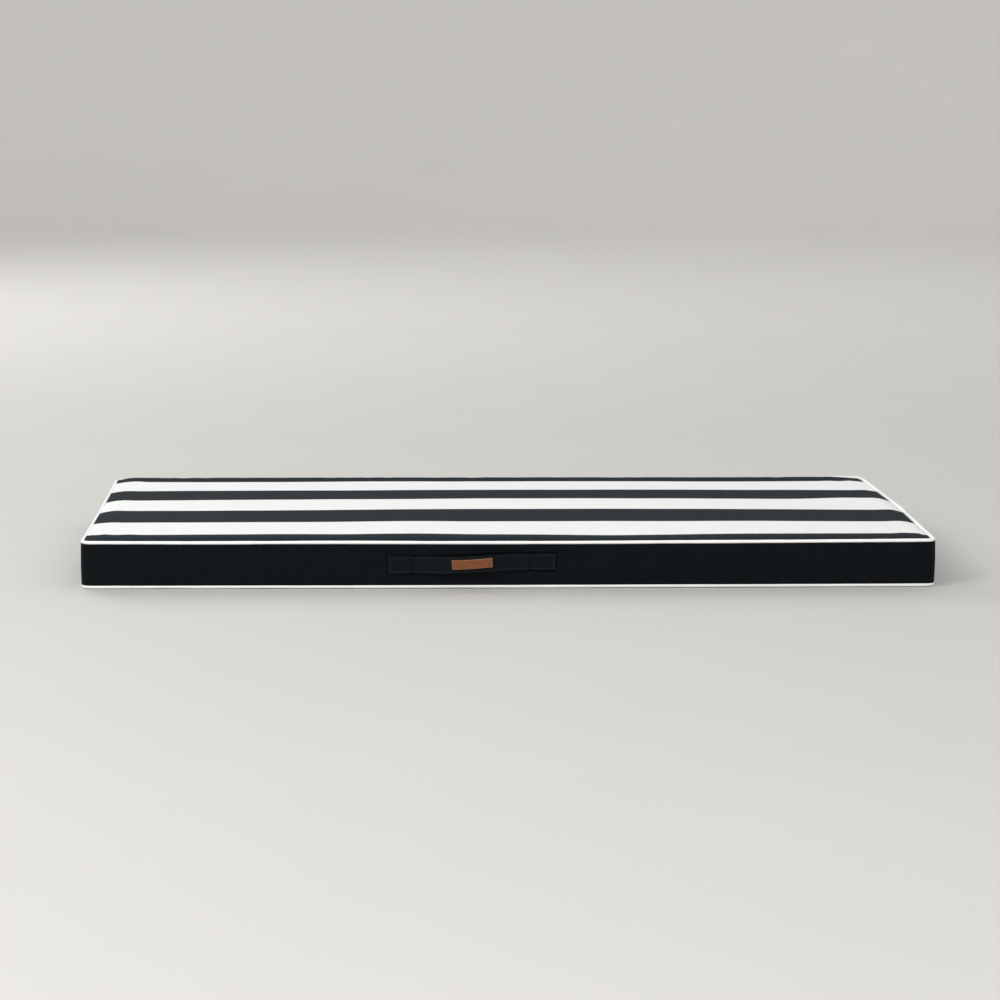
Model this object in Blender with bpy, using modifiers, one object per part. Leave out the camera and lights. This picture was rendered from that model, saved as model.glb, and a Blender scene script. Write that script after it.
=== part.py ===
"""A bench cushion: a foam block in a boxed cover, piped round both edges, with a carrying handle.

Metres. The origin is the centre of the underside, +X runs along the length, -Y is the front, which
carries the handle, and +Z is up. Every piece follows one flat pattern: a place on the pattern is
(flat_x, flat_y) on the uncut rectangle, and plan_point turns it into a place on the rounded,
slightly bowed outline, at a given distance inside the outermost line of the boxing.
"""

import math

import bmesh
import bpy

# The whole cushion.
LENGTH = 0.940
DEPTH = 0.457
CORNER_RADIUS = 0.011
FRONT_BOW = 0.0020
BACK_BOW = 0.0015
RIGHT_BOW = 0.0005
LEFT_BOW = -0.0010

# The right end slants: its back half runs inwards. The back right corner is blunter than the others.
SLANT_START_Y = -0.007
SLANT_PULL = 0.0089
BLUNT_CORNER_PULL = 0.0042
BLUNT_CORNER_REACH = 0.038
BLUNT_CORNER_WAY = (0.40, 0.92)

# Pieces that touch in the real cover stay this far apart.
GAP = 0.0003

# Piping: a covered cord in the top seam and one in the bottom seam.
PIPING_RADIUS = 0.0021
BOTTOM_SEAM_HEIGHT = 0.0027
TOP_SEAM_HEIGHT = 0.0516
TOP_SEAM_SAG = 0.0010
TOP_SEAM_TILT = 0.00045
# At the back the top seam lies lower along most of its length and lifts into the right corner.
BACK_SEAM_DROP = 0.0009
BACK_SEAM_LIFT = 0.0022
BACK_SEAM_LIFT_REACH = 0.085
# The front top seam rises softly left of the handle: centre x, half length, height.
FRONT_SEAM_SWELL = (-0.195, 0.170, 0.00060)

# Boxing: the band bulges a little between its two seams.
LEDGE_ANGLES = (0, 48, 96, 144)
BAND_ROWS = ((0.08, 0.00015), (0.26, -0.00025), (0.50, -0.00040), (0.74, -0.00025), (0.92, 0.00015))

# Panels.
PANEL_THICKNESS = 0.0012
PANEL_INSET = 2 * PIPING_RADIUS + GAP
PANEL_EDGE_DROP = 0.0006
STRIPE_WIDTH = 0.0762
LAST_STRIPE_EDGE = 2.5 * STRIPE_WIDTH

# Crown: a steep shoulder beside the seam, then a low dome that is highest right of the middle.
SHOULDER_RISE = 0.0031
SHOULDER_WIDTH = 0.022
SHOULDER_POWER = 2.4
DOME_RISE = 0.0040
DOME_LEAST_SHARE = 0.46
DOME_PEAK_X = 0.053
END_FALL = 0.0013
END_FALL_REACH = 0.090
# The foam's top back edge stands up as a soft roll beside the seam.
BACK_ROLL_RISE = 0.0021
BACK_ROLL_REACH = 0.012
BACK_ROLL_LEFT_FADE = 0.024
BACK_ROLL_RIGHT_FADE = 0.045
# Soft swells and hollows of the fill: centre x, centre y, half length, half width, height.
SWELLS = (
    (0.125, -0.190, 0.140, 0.060, -0.0014),
    (-0.112, -0.157, 0.110, 0.070, 0.0018),
    (0.420, 0.038, 0.075, 0.060, 0.0019),
    (-0.245, -0.195, 0.090, 0.050, 0.0006),
    (-0.300, 0.190, 0.170, 0.045, -0.0005),
    (0.270, 0.190, 0.200, 0.045, -0.0006),
)

# Handle: its two tacked ends and the free stretch between them, which stands off the boxing.
STRAP_LEFT = -0.1349
STRAP_RIGHT = 0.0490
LEFT_TACK_END = -0.1078
RIGHT_TACK_START = 0.0206
STRAP_WIDTH = 0.0188
STRAP_THICKNESS = 0.0020
STRAP_LEFT_HEIGHT = 0.0270
STRAP_RIGHT_HEIGHT = 0.0302
STRAP_RISE_START = -0.095
STRAP_RISE_END = -0.005
STRAP_BOW = 0.0095
STRAP_LEAN = 0.20
STRAP_STEPS_ALONG = 28
STRAP_STEPS_ACROSS = 2

# Patch on the handle.
PATCH_LENGTH = 0.0432
PATCH_WIDTH = 0.0105
PATCH_THICKNESS = 0.0014
PATCH_X = -0.0428
PATCH_HEIGHT = 0.0299
PATCH_TILT = math.radians(3.8)
PATCH_STEPS_ALONG = 8

# Lines of the pattern: distances from the edge, then even steps over the middle.
EDGE_STEPS = (0.0, 0.0055, 0.011, 0.018, 0.027)
LENGTH_STEPS = 18
DEPTH_STEPS = 10

BLACK_COTTON = (0.009, 0.011, 0.013, 1.0)
WHITE_COTTON = (0.86, 0.86, 0.86, 1.0)
TAN_LEATHER = (0.30, 0.12, 0.045, 1.0)


def clear_scene():
    for old in list(bpy.data.objects):
        bpy.data.objects.remove(old, do_unlink=True)


def cloth_material(name, color, roughness):
    material = bpy.data.materials.new(name)
    material.use_nodes = True
    shader = material.node_tree.nodes["Principled BSDF"]
    shader.inputs["Base Color"].default_value = color
    shader.inputs["Roughness"].default_value = roughness
    shader.inputs["Metallic"].default_value = 0.0
    return material


def smoothstep(value):
    value = min(max(value, 0.0), 1.0)
    return value * value * (3 - 2 * value)


def plan_point(flat_x, flat_y, inset):
    """Where a place on the pattern lies in plan, on the outline `inset` inside the outermost one."""
    straight_x = LENGTH / 2 - CORNER_RADIUS
    straight_y = DEPTH / 2 - CORNER_RADIUS
    across = max(abs(flat_x) - straight_x, 0.0) / CORNER_RADIUS
    along = max(abs(flat_y) - straight_y, 0.0) / CORNER_RADIUS
    turn_x = across * math.sqrt(1 - along * along / 2)
    turn_y = along * math.sqrt(1 - across * across / 2)
    x = min(abs(flat_x), straight_x) + (CORNER_RADIUS - inset) * turn_x
    y = min(abs(flat_y), straight_y) + (CORNER_RADIUS - inset) * turn_y
    end_bow = (RIGHT_BOW if flat_x > 0 else LEFT_BOW) * (1 - (2 * y / DEPTH) ** 2)
    side_bow = (BACK_BOW if flat_y > 0 else FRONT_BOW) * (1 - (2 * x / LENGTH) ** 2)
    slant = (math.copysign(y, flat_y) - SLANT_START_Y) / (DEPTH / 2 - SLANT_START_Y)
    if flat_x > 0:
        end_bow -= SLANT_PULL * max(slant, 0.0)
    x *= 1 + 2 * end_bow / LENGTH
    y *= 1 + 2 * side_bow / DEPTH
    if flat_x > 0 and flat_y > 0:
        outer_x = min(flat_x, straight_x) + CORNER_RADIUS * turn_x
        outer_y = min(flat_y, straight_y) + CORNER_RADIUS * turn_y
        from_corner = (LENGTH / 2 - outer_x) + (DEPTH / 2 - outer_y)
        pull = BLUNT_CORNER_PULL * max(1 - from_corner / BLUNT_CORNER_REACH, 0.0) ** 2
        x -= pull * BLUNT_CORNER_WAY[0]
        y -= pull * BLUNT_CORNER_WAY[1]
    return math.copysign(x, flat_x), math.copysign(y, flat_y)


def even_seam_height(flat_x):
    return TOP_SEAM_HEIGHT - TOP_SEAM_SAG * (1 - (2 * flat_x / LENGTH) ** 2)


def seam_shift(flat_x, flat_y):
    """How far the top seam lies off its even height: a tilt, the front's swell and the back's own shift."""
    lift = math.exp(-((LENGTH / 2 - flat_x) / BACK_SEAM_LIFT_REACH) ** 2)
    back_share = smoothstep(flat_y / DEPTH + 0.5)
    centre, half_length, height = FRONT_SEAM_SWELL
    swell = height * math.cos(math.pi / 2 * min(abs(flat_x - centre) / half_length, 1.0)) ** 2
    tilt = TOP_SEAM_TILT * 2 * flat_x / LENGTH
    return tilt + (1 - back_share) * swell + back_share * (BACK_SEAM_LIFT * lift - BACK_SEAM_DROP)


def top_seam_height(flat_x, flat_y):
    return even_seam_height(flat_x) + seam_shift(flat_x, flat_y)


def shoulder(distance_from_edge):
    """0 at the seam, rising to 1 over the width of the shoulder."""
    share = min(distance_from_edge / SHOULDER_WIDTH, 1.0)
    return 1 - (1 - share) ** SHOULDER_POWER


def dome(flat_x, flat_y):
    along = math.cos(math.pi * (flat_x - DOME_PEAK_X) / LENGTH) ** 2
    share = DOME_LEAST_SHARE + (1 - DOME_LEAST_SHARE) * along
    return DOME_RISE * share * math.cos(math.pi * flat_y / DEPTH) ** 2


def end_fall(flat_x):
    """The crown falls away gently towards both ends."""
    distance_from_end = LENGTH / 2 - abs(flat_x)
    return -END_FALL * math.exp(-distance_from_end / END_FALL_REACH)


def swells(flat_x, flat_y):
    total = 0.0
    for centre_x, centre_y, half_length, half_width, height in SWELLS:
        away = math.hypot((flat_x - centre_x) / half_length, (flat_y - centre_y) / half_width)
        if away < 1:
            total += height * math.cos(math.pi * away / 2) ** 2
    return total


def back_roll(flat_x, flat_y):
    """The soft roll beside the back seam: nothing on the seam, highest at its reach, then dying away."""
    from_back = (DEPTH / 2 - flat_y) / BACK_ROLL_REACH
    fade = BACK_ROLL_RIGHT_FADE if flat_x > 0 else BACK_ROLL_LEFT_FADE
    from_end = (LENGTH / 2 - abs(flat_x)) / fade
    return BACK_ROLL_RISE * smoothstep(from_end) * (from_back * math.exp(1 - from_back)) ** 3


def top_height(flat_x, flat_y):
    """Height of the top panel's outer face."""
    rise = shoulder(LENGTH / 2 - abs(flat_x)) * shoulder(DEPTH / 2 - abs(flat_y))
    crown = SHOULDER_RISE + dome(flat_x, flat_y) + end_fall(flat_x) + swells(flat_x, flat_y)
    edge = even_seam_height(flat_x) - PANEL_EDGE_DROP + (1 - rise) * seam_shift(flat_x, flat_y)
    return edge + rise * (PANEL_EDGE_DROP + crown) + back_roll(flat_x, flat_y)


def pattern_lines(half_size, half_middle, middle_steps):
    """Places of the pattern's lines along one direction, from the negative edge to the positive one."""
    edge = [half_size - step for step in EDGE_STEPS]
    middle = [half_middle * (2 * i / middle_steps - 1) for i in range(middle_steps + 1)]
    return [-place for place in edge] + middle + edge[::-1]


X_LINES = pattern_lines(LENGTH / 2, LENGTH / 2 - (DEPTH / 2 - LAST_STRIPE_EDGE), LENGTH_STEPS)
Y_LINES = pattern_lines(DEPTH / 2, LAST_STRIPE_EDGE, DEPTH_STEPS)


def outline_places():
    """The pattern places round the outline, counter-clockwise from the front left corner."""
    x_edge, y_edge = LENGTH / 2, DEPTH / 2
    places = [(x, -y_edge) for x in X_LINES[:-1]]
    places += [(x_edge, y) for y in Y_LINES[:-1]]
    places += [(x, y_edge) for x in X_LINES[:0:-1]]
    places += [(-x_edge, y) for y in Y_LINES[:0:-1]]
    return places


def crowned_surface():
    """The outer face of the top panel as an open grid, with each point's pattern place in a layer."""
    surface = bmesh.new()
    columns, rows = len(X_LINES) - 1, len(Y_LINES) - 1
    bmesh.ops.create_grid(surface, x_segments=columns, y_segments=rows, size=0.5)
    pattern = surface.verts.layers.float_vector.new("pattern")
    for vert in surface.verts:
        flat_x = X_LINES[round((vert.co.x + 0.5) * columns)]
        flat_y = Y_LINES[round((vert.co.y + 0.5) * rows)]
        vert[pattern] = (flat_x, flat_y, 0.0)
        vert.co = (*plan_point(flat_x, flat_y, PANEL_INSET), top_height(flat_x, flat_y))
    surface.normal_update()
    return surface, pattern


def object_from(bm, name, parts, *materials):
    mesh = bpy.data.meshes.new(name)
    bm.to_mesh(mesh)
    bm.free()
    mesh.shade_smooth()
    mesh.set_sharp_from_angle(angle=math.radians(40))
    for material in materials:
        mesh.materials.append(material)
    piece = bpy.data.objects.new(name, mesh)
    parts.objects.link(piece)
    return piece


def add_thickness(piece, thickness, offset):
    solidify = piece.modifiers.new("Cloth thickness", "SOLIDIFY")
    solidify.thickness = thickness
    solidify.offset = offset
    return solidify


def ledge(seam_height, turn):
    """Section points round a piping, from inside to outside: turn 1 for below the band, -1 for above."""
    half_step = math.radians(LEDGE_ANGLES[1] - LEDGE_ANGLES[0]) / 2
    radius = (PIPING_RADIUS + GAP) / math.cos(half_step)
    points = []
    for angle in LEDGE_ANGLES:
        inset = PIPING_RADIUS + radius * math.cos(math.radians(angle))
        points.append((inset, seam_height + turn * radius * math.sin(math.radians(angle))))
    return points


def band_section(flat_x, flat_y):
    """(inset, height) down the side of the body: top ledge, band, bottom ledge, underside."""
    top_ledge = ledge(top_seam_height(flat_x, flat_y), -1)[1:]
    bottom_ledge = ledge(BOTTOM_SEAM_HEIGHT, 1)[::-1]
    high, low = top_ledge[-1][1], bottom_ledge[0][1]
    band = [(inset, high + share * (low - high)) for share, inset in BAND_ROWS]
    underside = [(PANEL_INSET + GAP, PANEL_THICKNESS + GAP)]
    return top_ledge + band + bottom_ledge + underside


def make_boxing_body(parts, black):
    """One filled solid: its crown lies under the panel, and its side steps in round both pipings."""
    body, pattern = crowned_surface()
    clearance = PANEL_THICKNESS + GAP
    lowered = [(vert, vert.co - vert.normal * clearance) for vert in body.verts]
    for vert, place in lowered:
        vert.co = place
    rim = [edge for edge in body.edges if edge.is_boundary]
    for row in range(len(band_section(0.0, 0.0))):
        grown = bmesh.ops.extrude_edge_only(body, edges=rim)["geom"]
        rim = [item for item in grown if isinstance(item, bmesh.types.BMEdge)]
        for vert in (item for item in grown if isinstance(item, bmesh.types.BMVert)):
            flat_x, flat_y, _ = vert[pattern]
            inset, height = band_section(flat_x, flat_y)[row]
            vert.co = (*plan_point(flat_x, flat_y, inset), height)
    bmesh.ops.edgeloop_fill(body, edges=rim)
    bmesh.ops.recalc_face_normals(body, faces=body.faces)
    return object_from(body, "boxing_body", parts, black)


def make_top_panel(parts, black, white):
    """The crowned sheet. Its grid has a line along each stripe's edge, so a stripe is whole faces."""
    panel, _ = crowned_surface()
    for face in panel.faces:
        stripes_from_middle = abs(face.calc_center_median().y) / STRIPE_WIDTH
        face.material_index = round(stripes_from_middle) % 2
    piece = object_from(panel, "top_panel", parts, white, black)
    add_thickness(piece, PANEL_THICKNESS, -1)
    return piece


def make_bottom_panel(parts, black):
    """The flat sheet that the cushion rests on."""
    curve = bpy.data.curves.new("bottom_panel", "CURVE")
    curve.dimensions = "2D"
    curve.fill_mode = "BOTH"
    curve.extrude = PANEL_THICKNESS / 2
    outline = curve.splines.new("POLY")
    places = outline_places()
    outline.points.add(len(places) - 1)
    for point, (flat_x, flat_y) in zip(outline.points, places):
        point.co = (*plan_point(flat_x, flat_y, PANEL_INSET), 0.0, 1.0)
    outline.use_cyclic_u = True
    curve.materials.append(black)
    piece = bpy.data.objects.new("bottom_panel", curve)
    piece.location.z = PANEL_THICKNESS / 2
    parts.objects.link(piece)
    return piece


def make_piping(parts, name, seam_height, white):
    """A covered cord that runs once round the cushion, its outermost line level with the boxing."""
    curve = bpy.data.curves.new(name, "CURVE")
    curve.dimensions = "3D"
    curve.twist_mode = "Z_UP"
    curve.bevel_depth = PIPING_RADIUS
    curve.bevel_resolution = 2
    route = curve.splines.new("POLY")
    places = outline_places()
    route.points.add(len(places) - 1)
    for point, (flat_x, flat_y) in zip(route.points, places):
        point.co = (*plan_point(flat_x, flat_y, PIPING_RADIUS), seam_height(flat_x, flat_y), 1.0)
    route.use_cyclic_u = True
    route.use_smooth = True
    curve.materials.append(white)
    piece = bpy.data.objects.new(name, curve)
    parts.objects.link(piece)
    return piece


def strap_stand_off(x, across):
    """How far the strap's back face stands in front of the boxing. Its upper edge leans out."""
    lowest = GAP - min(inset for _, inset in BAND_ROWS)
    span = RIGHT_TACK_START - LEFT_TACK_END
    share = min(max((x - LEFT_TACK_END) / span, 0.0), 1.0)
    return lowest + (STRAP_BOW + STRAP_LEAN * across) * math.sin(math.pi * share) ** 2


def strap_height(x):
    share = (x - STRAP_RISE_START) / (STRAP_RISE_END - STRAP_RISE_START)
    return STRAP_LEFT_HEIGHT + (STRAP_RIGHT_HEIGHT - STRAP_LEFT_HEIGHT) * smoothstep(share)


def front_point(x, height, stand_off):
    return (*plan_point(x, -DEPTH / 2, -stand_off), height)


def make_handle_strap(parts, black):
    strap = bmesh.new()
    bmesh.ops.create_grid(
        strap, x_segments=STRAP_STEPS_ALONG, y_segments=STRAP_STEPS_ACROSS, size=0.5
    )
    for vert in strap.verts:
        x = STRAP_LEFT + (vert.co.x + 0.5) * (STRAP_RIGHT - STRAP_LEFT)
        across = vert.co.y * STRAP_WIDTH
        vert.co = front_point(x, strap_height(x) + across, strap_stand_off(x, across))
    strap.normal_update()
    piece = object_from(strap, "handle_strap", parts, black)
    add_thickness(piece, STRAP_THICKNESS, 1)
    return piece


def make_leather_patch(parts, leather):
    """The patch lies on the strap's bowed front face, a little out of line with it."""
    patch = bmesh.new()
    bmesh.ops.create_grid(patch, x_segments=PATCH_STEPS_ALONG, y_segments=2, size=0.5)
    for vert in patch.verts:
        along, up = vert.co.x * PATCH_LENGTH, vert.co.y * PATCH_WIDTH
        x = PATCH_X + along * math.cos(PATCH_TILT) - up * math.sin(PATCH_TILT)
        height = PATCH_HEIGHT + along * math.sin(PATCH_TILT) + up * math.cos(PATCH_TILT)
        stand_off = strap_stand_off(x, height - strap_height(x)) + STRAP_THICKNESS + GAP
        vert.co = front_point(x, height, stand_off)
    patch.normal_update()
    piece = object_from(patch, "leather_patch", parts, leather)
    add_thickness(piece, PATCH_THICKNESS, 1)
    return piece


def main():
    clear_scene()
    parts = bpy.data.collections.new("bench_cushion")
    bpy.context.scene.collection.children.link(parts)

    make_boxing_body(parts, cloth_material("boxing cotton", BLACK_COTTON, 0.85))
    make_top_panel(
        parts,
        cloth_material("stripe black", BLACK_COTTON, 0.85),
        cloth_material("stripe white", WHITE_COTTON, 0.85),
    )
    make_bottom_panel(parts, cloth_material("underside cotton", BLACK_COTTON, 0.85))
    make_piping(
        parts,
        "top_piping",
        top_seam_height,
        cloth_material("top piping white", WHITE_COTTON, 0.8),
    )
    make_piping(
        parts,
        "bottom_piping",
        lambda flat_x, flat_y: BOTTOM_SEAM_HEIGHT,
        cloth_material("bottom piping white", WHITE_COTTON, 0.8),
    )
    make_handle_strap(parts, cloth_material("strap cotton", BLACK_COTTON, 0.85))
    make_leather_patch(parts, cloth_material("tan leather", TAN_LEATHER, 0.55))


main()
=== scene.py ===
"""The looks of the bench cushion: fine cloth meshes, stitching, materials, a pale studio and the camera.

Metres, +X along the length, -Y towards the front with the handle, +Z up."""

import bisect
import math

import bmesh
import bpy
from mathutils import Matrix, Vector, noise


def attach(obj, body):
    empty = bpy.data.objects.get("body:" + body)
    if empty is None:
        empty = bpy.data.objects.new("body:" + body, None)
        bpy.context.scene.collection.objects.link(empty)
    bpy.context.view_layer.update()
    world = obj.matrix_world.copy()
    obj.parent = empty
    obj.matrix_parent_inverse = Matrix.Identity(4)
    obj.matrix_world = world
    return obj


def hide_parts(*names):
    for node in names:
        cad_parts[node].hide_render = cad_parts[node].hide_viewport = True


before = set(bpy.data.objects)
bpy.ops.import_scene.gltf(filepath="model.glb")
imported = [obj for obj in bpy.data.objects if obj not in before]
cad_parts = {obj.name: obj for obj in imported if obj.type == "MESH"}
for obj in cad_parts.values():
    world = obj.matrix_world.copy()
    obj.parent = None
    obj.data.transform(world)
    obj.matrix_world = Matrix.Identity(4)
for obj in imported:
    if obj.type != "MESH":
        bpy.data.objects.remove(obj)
scene = bpy.context.scene
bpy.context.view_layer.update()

# The cushion's pattern, as in the solids.
LENGTH = 0.940
DEPTH = 0.457
CORNER_RADIUS = 0.011
FRONT_BOW = 0.0020
BACK_BOW = 0.0015
RIGHT_BOW = 0.0005
LEFT_BOW = -0.0010
# The back half of the right end runs inwards, and the back right corner is blunter than the others.
SLANT_START_Y = -0.007
SLANT_PULL = 0.0089
BLUNT_CORNER_PULL = 0.0042
BLUNT_CORNER_REACH = 0.038
BLUNT_CORNER_WAY = (0.40, 0.92)
GAP = 0.0003
PIPING_RADIUS = 0.0021
BOTTOM_SEAM_HEIGHT = 0.0027
TOP_SEAM_HEIGHT = 0.0516
TOP_SEAM_SAG = 0.0010
TOP_SEAM_TILT = 0.00045
# At the back the top seam lies lower, and lifts into the right corner.
BACK_SEAM_DROP = 0.0009
BACK_SEAM_LIFT = 0.0022
BACK_SEAM_LIFT_REACH = 0.085
# The front top seam rises softly left of the handle: centre x, half length, height.
FRONT_SEAM_SWELL = (-0.195, 0.170, 0.00060)
PANEL_THICKNESS = 0.0012
PANEL_INSET = 2 * PIPING_RADIUS + GAP
STRIPE_WIDTH = 0.0762

# The panel's rim leaves the piping at this angle. At the left end it puffs over the piping.
RIM_ANGLE = math.radians(-8)
LEFT_RIM_ANGLE = math.radians(48)
LEFT_PUFF_REACH = 0.012
TUCK_END_ANGLE = math.radians(-62)
TUCK_ROWS = 4

# Crown.
SHOULDER_RISE = 0.0031
SHOULDER_WIDTH = 0.022
SHOULDER_POWER = 2.4
DOME_RISE = 0.0040
DOME_LEAST_SHARE = 0.46
DOME_PEAK_X = 0.053
END_FALL = 0.0013
END_FALL_REACH = 0.090
# The foam's top back edge stands up as a soft roll beside the seam.
BACK_ROLL_RISE = 0.0021
BACK_ROLL_REACH = 0.012
BACK_ROLL_POWER = 3
BACK_ROLL_LEFT_FADE = 0.024
BACK_ROLL_RIGHT_FADE = 0.045
# Soft swells and hollows of the fill: centre x, centre y, half length, half width, height.
SWELLS = (
    (0.125, -0.190, 0.140, 0.060, -0.0014),
    (-0.112, -0.157, 0.110, 0.070, 0.0018),
    (0.420, 0.038, 0.075, 0.060, 0.0019),
    (-0.245, -0.195, 0.090, 0.050, 0.0006),
    (-0.300, 0.190, 0.170, 0.045, -0.0005),
    (0.270, 0.190, 0.200, 0.045, -0.0006),
)

# Unevenness of the cover: levels in the noise, and the wavelength and height of its layers.
CROWN_LEVEL = 0.1
TOP_SEAM_LEVEL = 0.3
BOTTOM_SEAM_LEVEL = 1.3
SEAM_WANDER = ((0.090, 0.00012), (0.030, 0.00006))
CROWN_WANDER = ((0.110, 0.00030), (0.045, 0.00012))
BAND_WANDER = ((0.120, 0.00070), (0.034, 0.00022))
BAND_WANDER_UP = 0.7
# Seam puckers: ridges square to a seam, highest a little way from it.
PUCKER_WAVELENGTH = 0.0115
PUCKER_HEIGHT = 0.00042
PUCKER_REACH = 0.0060
# Along a seam the puckers grow and fade. The boxing's are a share of the top's.
PUCKER_LEVELS = (0.5, 0.8)
PUCKER_LEAST_STRENGTH = 0.35
PUCKER_CONTRAST = 1.5
PUCKER_FADE_WAVELENGTH = 0.09
BAND_PUCKER_SHARE = 0.7
# Creases that fan out of each corner of the top: turn in degrees, start, length, half width, height.
CREASE_EXTRA_TURN = 6
CORNER_CREASES = (
    (24, 0.012, 0.060, 0.0050, 0.00040),
    (47, 0.010, 0.085, 0.0060, 0.00055),
    (68, 0.014, 0.055, 0.0048, 0.00035),
)

# Boxing band.
LEDGE_ANGLES = (0, 24, 48, 72, 96, 120, 144)
# The room for the panel's rim is full up to the first angle and gone at the second.
LEDGE_ROOM_ANGLES = (40, 100)
BAND_BULGE = 0.00055
BAND_EDGE_INSET = 0.00015
BAND_ROWS = 22
# How the handle's tacks hold the boxing in, and how far round them.
TACK_PULL = 0.0004
TACK_PULL_REACH = 0.014

# Handle.
STRAP_LEFT = -0.1349
STRAP_RIGHT = 0.0490
STRAP_LENGTH = STRAP_RIGHT - STRAP_LEFT
STRAP_MIDDLE = (STRAP_LEFT + STRAP_RIGHT) / 2
LEFT_TACK_END = -0.1078
RIGHT_TACK_START = 0.0206
STRAP_WIDTH = 0.0188
STRAP_THICKNESS = 0.0020
STRAP_LEFT_HEIGHT = 0.0270
STRAP_RIGHT_HEIGHT = 0.0302
STRAP_RISE_START = -0.095
STRAP_RISE_END = -0.005
STRAP_BOW = 0.0095
STRAP_LEAN = 0.20
STRAP_STAND_OFF = 0.0007
STRAP_PITCH = 0.0007
STRAP_TAPER = 0.0005
# Where the tacks draw the strap's edges in: place along it, reach, depth.
STRAP_WAISTS = (
    (LEFT_TACK_END + 0.0010, 0.0026, 0.0011),
    (RIGHT_TACK_START - 0.0008, 0.0022, 0.0006),
)
STRAP_EDGE_WANDER = ((0.017, 0.00020),)
STRAP_EDGE_LEVEL = 0.0374
TOPSTITCH_INSET = 0.0021
TACK_END_INSET = 0.0026

# The short simulation that settles the top cover's margins. No place moves further than the limit.
SETTLE_REACH = 0.055
SETTLE_FREE_SHARE = 0.3
SETTLE_LIMIT = 0.0005
SETTLE_FRAMES = 20
SETTLE_MASS = 0.02
SETTLE_BENDING = 0.05
SETTLE_PRESSURE = 4.0
SEAM_EASE = 0.006

# Thread.
STITCH_PITCH = 0.0031
STITCH_LENGTH = 0.0023
THREAD_RADIUS = 0.00030
THREAD_STAND_OFF = 0.35 * THREAD_RADIUS
# Each tack ends in two bars of stitches, this far apart.
SECOND_BAR_STEP = 0.0022

# Patch on the handle.
PATCH_LENGTH = 0.0432
PATCH_WIDTH = 0.0105
PATCH_THICKNESS = 0.0014
PATCH_X = -0.0428
PATCH_HEIGHT = 0.0299
PATCH_TILT = math.radians(3.8)
PATCH_RIM_WIDTH = 0.0012
PATCH_CURL = 0.00018
PATCH_CURL_REACH = 0.0016
PATCH_WANDER = ((0.012, 0.00010),)
PATCH_LEVEL = 0.6
PATCH_EDGE_ROUND = 0.00030

# Distances from an edge of the pattern at which a mesh has lines, and its even pitch beyond them.
EDGE_STEPS = (
    0, 0.0014, 0.0028, 0.0042, 0.0056, 0.0072, 0.0090, 0.0110, 0.0133, 0.0158, 0.0188, 0.0222, 0.0260
)
FINE_PITCH = 0.0040
PLAIN_PITCH = 0.0120


# ---- the pattern and the crown


def smoothstep(value):
    value = min(max(value, 0.0), 1.0)
    return value * value * (3 - 2 * value)


def wander(layers, x, y, z):
    """A sum of layers of smooth noise, each with its wavelength and height."""
    place = Vector((x, y, z))
    return sum(height * noise.noise(place / wavelength) for wavelength, height in layers)


def plan_point(flat_x, flat_y, inset):
    """Where a place on the pattern lies in plan, with the outline drawn in by the inset."""
    straight_x = LENGTH / 2 - CORNER_RADIUS
    straight_y = DEPTH / 2 - CORNER_RADIUS
    across = max(abs(flat_x) - straight_x, 0.0) / CORNER_RADIUS
    along = max(abs(flat_y) - straight_y, 0.0) / CORNER_RADIUS
    turn_x = across * math.sqrt(1 - along * along / 2)
    turn_y = along * math.sqrt(1 - across * across / 2)
    x = min(abs(flat_x), straight_x) + (CORNER_RADIUS - inset) * turn_x
    y = min(abs(flat_y), straight_y) + (CORNER_RADIUS - inset) * turn_y
    end_bow = (RIGHT_BOW if flat_x > 0 else LEFT_BOW) * (1 - (2 * y / DEPTH) ** 2)
    side_bow = (BACK_BOW if flat_y > 0 else FRONT_BOW) * (1 - (2 * x / LENGTH) ** 2)
    slant = (math.copysign(y, flat_y) - SLANT_START_Y) / (DEPTH / 2 - SLANT_START_Y)
    if flat_x > 0:
        end_bow -= SLANT_PULL * max(slant, 0.0)
    x *= 1 + 2 * end_bow / LENGTH
    y *= 1 + 2 * side_bow / DEPTH
    if flat_x > 0 and flat_y > 0:
        outer_x = min(flat_x, straight_x) + CORNER_RADIUS * turn_x
        outer_y = min(flat_y, straight_y) + CORNER_RADIUS * turn_y
        from_corner = (LENGTH / 2 - outer_x) + (DEPTH / 2 - outer_y)
        pull = BLUNT_CORNER_PULL * max(1 - from_corner / BLUNT_CORNER_REACH, 0.0) ** 2
        x -= pull * BLUNT_CORNER_WAY[0]
        y -= pull * BLUNT_CORNER_WAY[1]
    return math.copysign(x, flat_x), math.copysign(y, flat_y)


def even_seam_height(flat_x):
    return TOP_SEAM_HEIGHT - TOP_SEAM_SAG * (1 - (2 * flat_x / LENGTH) ** 2)


def seam_shift(flat_x, flat_y):
    """How far the top seam lies off its even height."""
    lift = math.exp(-((LENGTH / 2 - flat_x) / BACK_SEAM_LIFT_REACH) ** 2)
    back_share = smoothstep(flat_y / DEPTH + 0.5)
    centre, half_length, height = FRONT_SEAM_SWELL
    swell = height * math.cos(math.pi / 2 * min(abs(flat_x - centre) / half_length, 1.0)) ** 2
    shift = TOP_SEAM_TILT * 2 * flat_x / LENGTH + (1 - back_share) * swell
    shift += back_share * (BACK_SEAM_LIFT * lift - BACK_SEAM_DROP)
    return shift + wander(SEAM_WANDER, flat_x, flat_y, TOP_SEAM_LEVEL)


def top_seam(flat_x, flat_y):
    return even_seam_height(flat_x) + seam_shift(flat_x, flat_y)


def bottom_seam(flat_x, flat_y):
    return BOTTOM_SEAM_HEIGHT + wander(SEAM_WANDER, flat_x, flat_y, BOTTOM_SEAM_LEVEL)


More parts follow.
